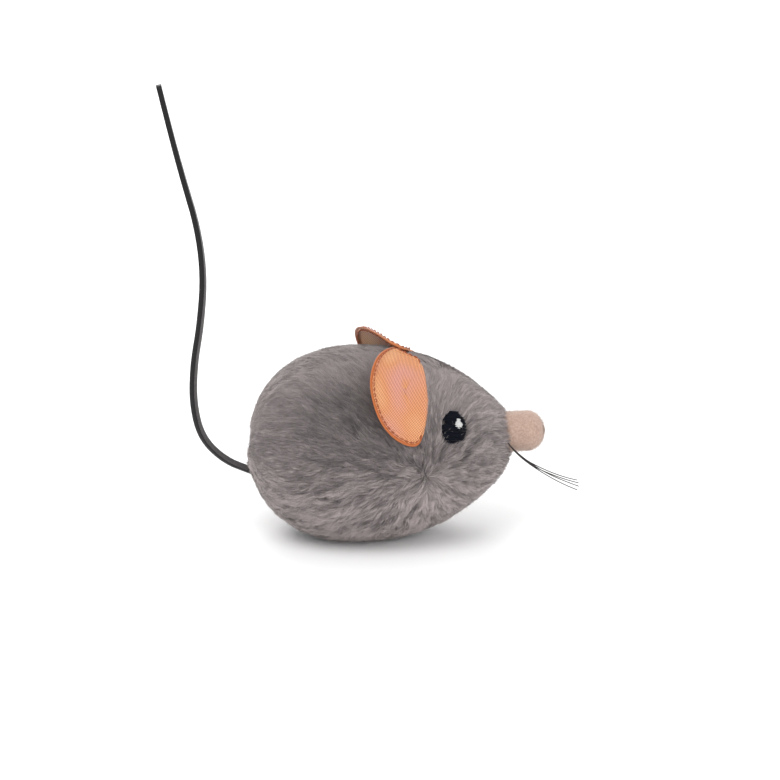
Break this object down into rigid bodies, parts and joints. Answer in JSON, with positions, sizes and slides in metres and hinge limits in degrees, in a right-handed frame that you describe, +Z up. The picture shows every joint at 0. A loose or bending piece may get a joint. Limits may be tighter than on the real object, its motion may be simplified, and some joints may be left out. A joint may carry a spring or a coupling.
{
  "type": "clockwork mouse",
  "caption": "Plush toy mouse with satin ears, felt nose and lace tail over a spring-wound motor: side knob winds it, geared rear wheels drive it.",
  "frame": {"origin": "on the floor under the wheels, at the middle of the mouse without its tail", "axes": "+X to the nose, +Y to the mouse's left, +Z up"},
  "size_m": [0.1439, 0.071, 0.1593],
  "materials": {
    "grey_plush": "short faux fur",
    "filling": "loose fibre",
    "orange_satin": "pearly satin weave",
    "navy_thread": "embroidery",
    "pale_thread": "embroidery",
    "felt": "felted wool",
    "black_thread": "waxed thread",
    "black_lace": "square-cut lace",
    "dark_plastic": "moulded, satin",
    "white_plastic": "moulded, glossy",
    "plated_steel": "zinc plated",
    "ground_steel": "ground bright",
    "brass": "stamped, bright",
    "spring_steel": "blued spring steel",
    "wheel_plastic": "moulded, satin",
    "tyre_rubber": "matt"
  },
  "bodies": {
    "body": {"cover_left": "grey_plush", "cover_right": "grey_plush", "belly_panel": "grey_plush", "stuffing": "filling", "ear_right": "orange_satin", "ear_left": "orange_satin", "eye_right": "navy_thread", "eye_left": "navy_thread", "eye_glint_right": "pale_thread", "eye_glint_left": "pale_thread", "nose": "felt", "whiskers_right": "black_thread", "whiskers_left": "black_thread", "tail_cord": "black_lace", "tail_knot": "black_lace", "chassis": "dark_plastic", "dust_cap": "white_plastic", "cap_screws": "plated_steel", "motor_plate_left": "plated_steel", "motor_plate_right": "plated_steel", "plate_pillars": "plated_steel", "axle_bushes": "brass", "roller_pin": "ground_steel", "mainspring": "spring_steel", "arbor_sleeve": "white_plastic", "knob_grommet": "white_plastic"},
    "great_wheel": {"great_gear": "brass", "click": "spring_steel", "click_rivet": "ground_steel"},
    "winder": {"winding_arbor": "ground_steel", "ratchet_wheel": "spring_steel", "winding_knob": "white_plastic"},
    "idler": {"idler_shaft": "ground_steel", "idler_gear": "brass", "idler_pinion": "brass"},
    "drive_axle": {"rear_axle": "ground_steel", "axle_pinion": "brass", "rear_wheel_left": "wheel_plastic", "rear_wheel_right": "wheel_plastic", "rear_tyre_left": "tyre_rubber", "rear_tyre_right": "tyre_rubber"},
    "roller": {"front_roller": "wheel_plastic", "roller_tyre": "tyre_rubber"}
  },
  "joints": [
    {"name": "great_wheel_spin", "type": "hinge", "parent": "body", "child": "great_wheel", "pos_m": [-0.01249, 0, 0.0218], "axis": [0, 1, 0], "continuous": true},
    {"name": "winding", "type": "hinge", "parent": "great_wheel", "child": "winder", "pos_m": [-0.01249, 0, 0.0218], "axis": [0, -1, 0], "range_deg": [0, 1800], "deforming": ["mainspring", "click"]},
    {"name": "idler_spin", "type": "hinge", "parent": "body", "child": "idler", "pos_m": [-0.02436, 0, 0.01652], "axis": [0, 1, 0], "continuous": true},
    {"name": "drive_axle_spin", "type": "hinge", "parent": "body", "child": "drive_axle", "pos_m": [-0.0288, 0, 0.007], "axis": [0, 1, 0], "continuous": true},
    {"name": "roller_spin", "type": "hinge", "parent": "body", "child": "roller", "pos_m": [-0.006, 0, 0.0046], "axis": [0, 1, 0], "continuous": true}
  ],
  "couplings": [
    {"joint": "idler_spin", "follows": "great_wheel_spin", "ratio": -3.3333},
    {"joint": "drive_axle_spin", "follows": "great_wheel_spin", "ratio": 8.3333}
  ]
}
